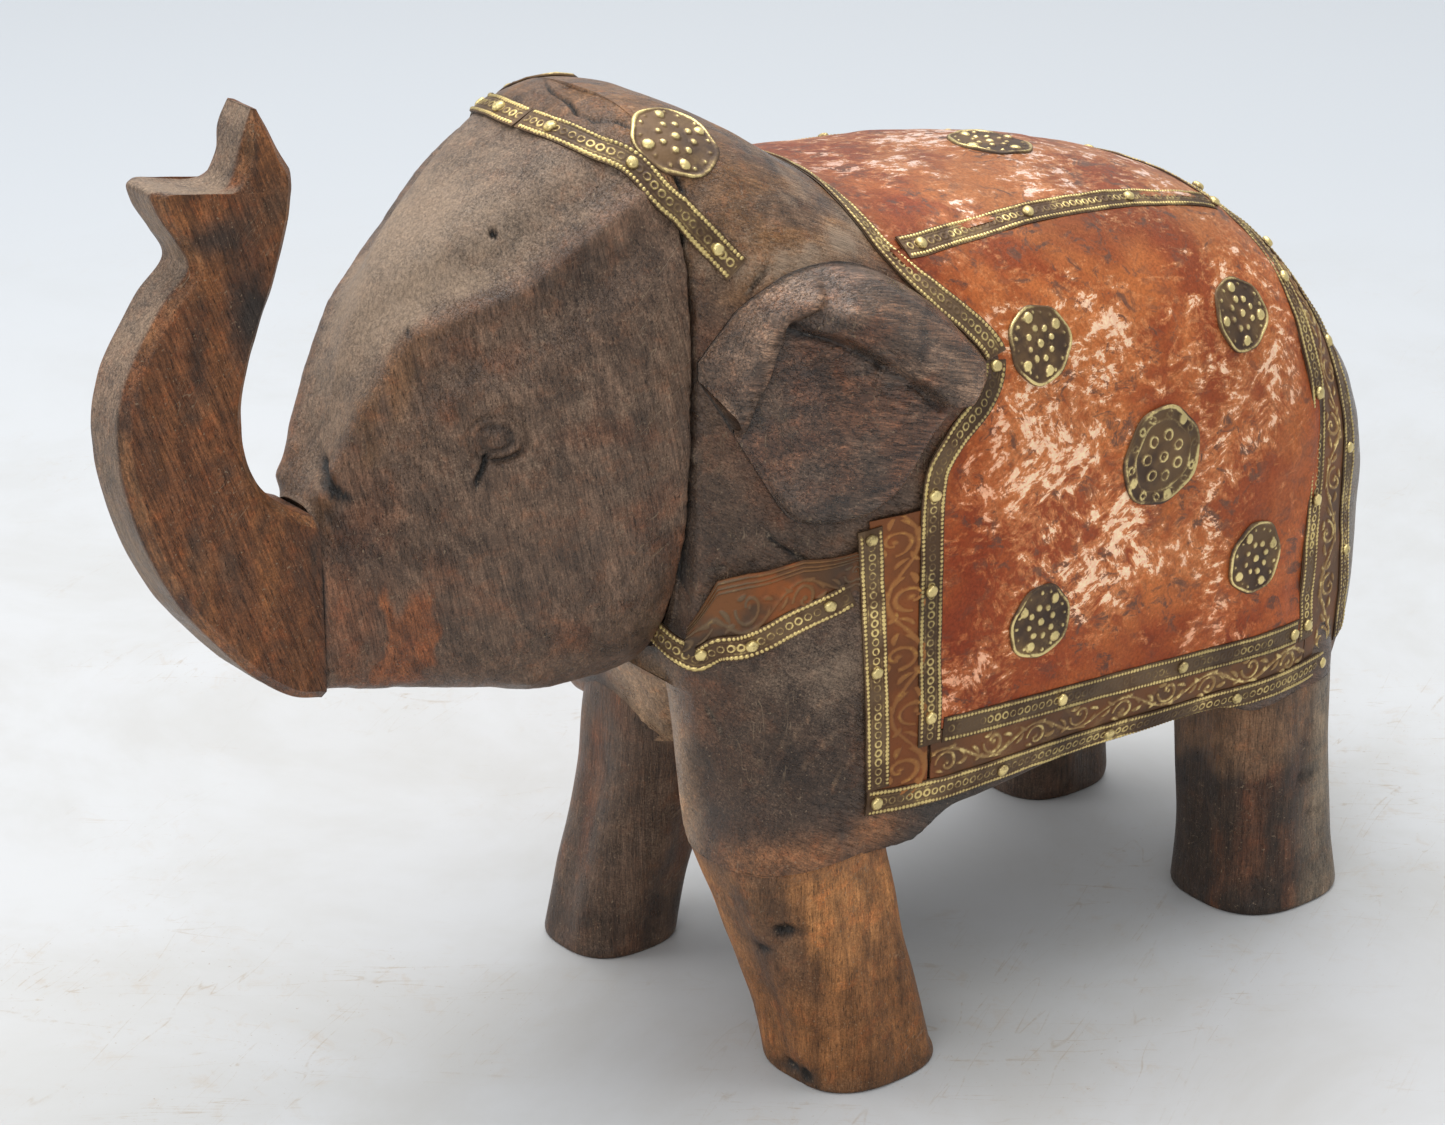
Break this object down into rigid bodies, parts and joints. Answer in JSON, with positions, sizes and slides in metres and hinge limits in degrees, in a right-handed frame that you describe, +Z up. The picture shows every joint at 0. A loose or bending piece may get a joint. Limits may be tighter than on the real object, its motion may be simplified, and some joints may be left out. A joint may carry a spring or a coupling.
{
  "type": "carved wooden elephant figurine",
  "caption": "Carved wooden elephant with a raised trunk and a saddle of nailed copper sheet, brass strips and rosettes; stands free as an ornament.",
  "frame": {"origin": "on the ground, at the middle of the overall length and width", "axes": "+X towards the tail, so the head faces -X; +Y towards the elephant's right flank; +Z up"},
  "size_m": [0.3695, 0.1384, 0.261],
  "materials": {
    "dark_wood": "dark stained and waxed, worn on the high spots, with dust in the cracks",
    "worn_wood": "red-brown stained, worn, with black smudges",
    "raw_wood": "bare ochre-brown wood, satin",
    "peg_wood": "bare wood, unseen inside the joints",
    "copper": "thin copper sheet, aged orange-red and brown, with bright brushed patches",
    "brass": "thin embossed brass sheet, bright on the beads, dark between them",
    "aged_brass": "thin embossed brass sheet, dark brown with gold highlights"
  },
  "bodies": {
    "root": {"body_block": "dark_wood", "head_block": "dark_wood", "trunk": "worn_wood", "ear_left": "dark_wood", "ear_right": "dark_wood", "leg_front_left": "raw_wood", "leg_front_right": "dark_wood", "leg_rear_left": "dark_wood", "leg_rear_right": "dark_wood", "neck_peg": "peg_wood", "trunk_peg": "peg_wood", "leg_pegs": "peg_wood", "ear_pegs": "peg_wood", "saddle_top_panel": "copper", "saddle_panel_left": "copper", "saddle_panel_right": "copper", "front_border_left": "aged_brass", "front_border_right": "aged_brass", "bottom_border_left": "aged_brass", "bottom_border_right": "aged_brass", "rear_border": "aged_brass", "saddle_front_strip": "brass", "top_strip_left": "brass", "top_strip_right": "brass", "inner_front_strip_left": "brass", "inner_front_strip_right": "brass", "inner_bottom_strip_left": "brass", "inner_bottom_strip_right": "brass", "inner_rear_strip": "brass", "outer_front_strip_left": "brass", "outer_front_strip_right": "brass", "outer_bottom_strip_left": "brass", "outer_bottom_strip_right": "brass", "outer_rear_strip": "brass", "forehead_strip_left": "brass", "forehead_strip_right": "brass", "collar_band_left": "aged_brass", "collar_band_right": "aged_brass", "collar_strip_left": "brass", "collar_strip_right": "brass", "rosettes_left": "aged_brass", "rosettes_right": "aged_brass", "centre_rosette_left": "aged_brass", "centre_rosette_right": "aged_brass", "back_rosette": "aged_brass", "crown_rosettes": "aged_brass", "saddle_tacks_left": "brass", "saddle_tacks_right": "brass", "collar_tacks": "brass", "forehead_tacks": "brass"}
  },
  "joints": []
}
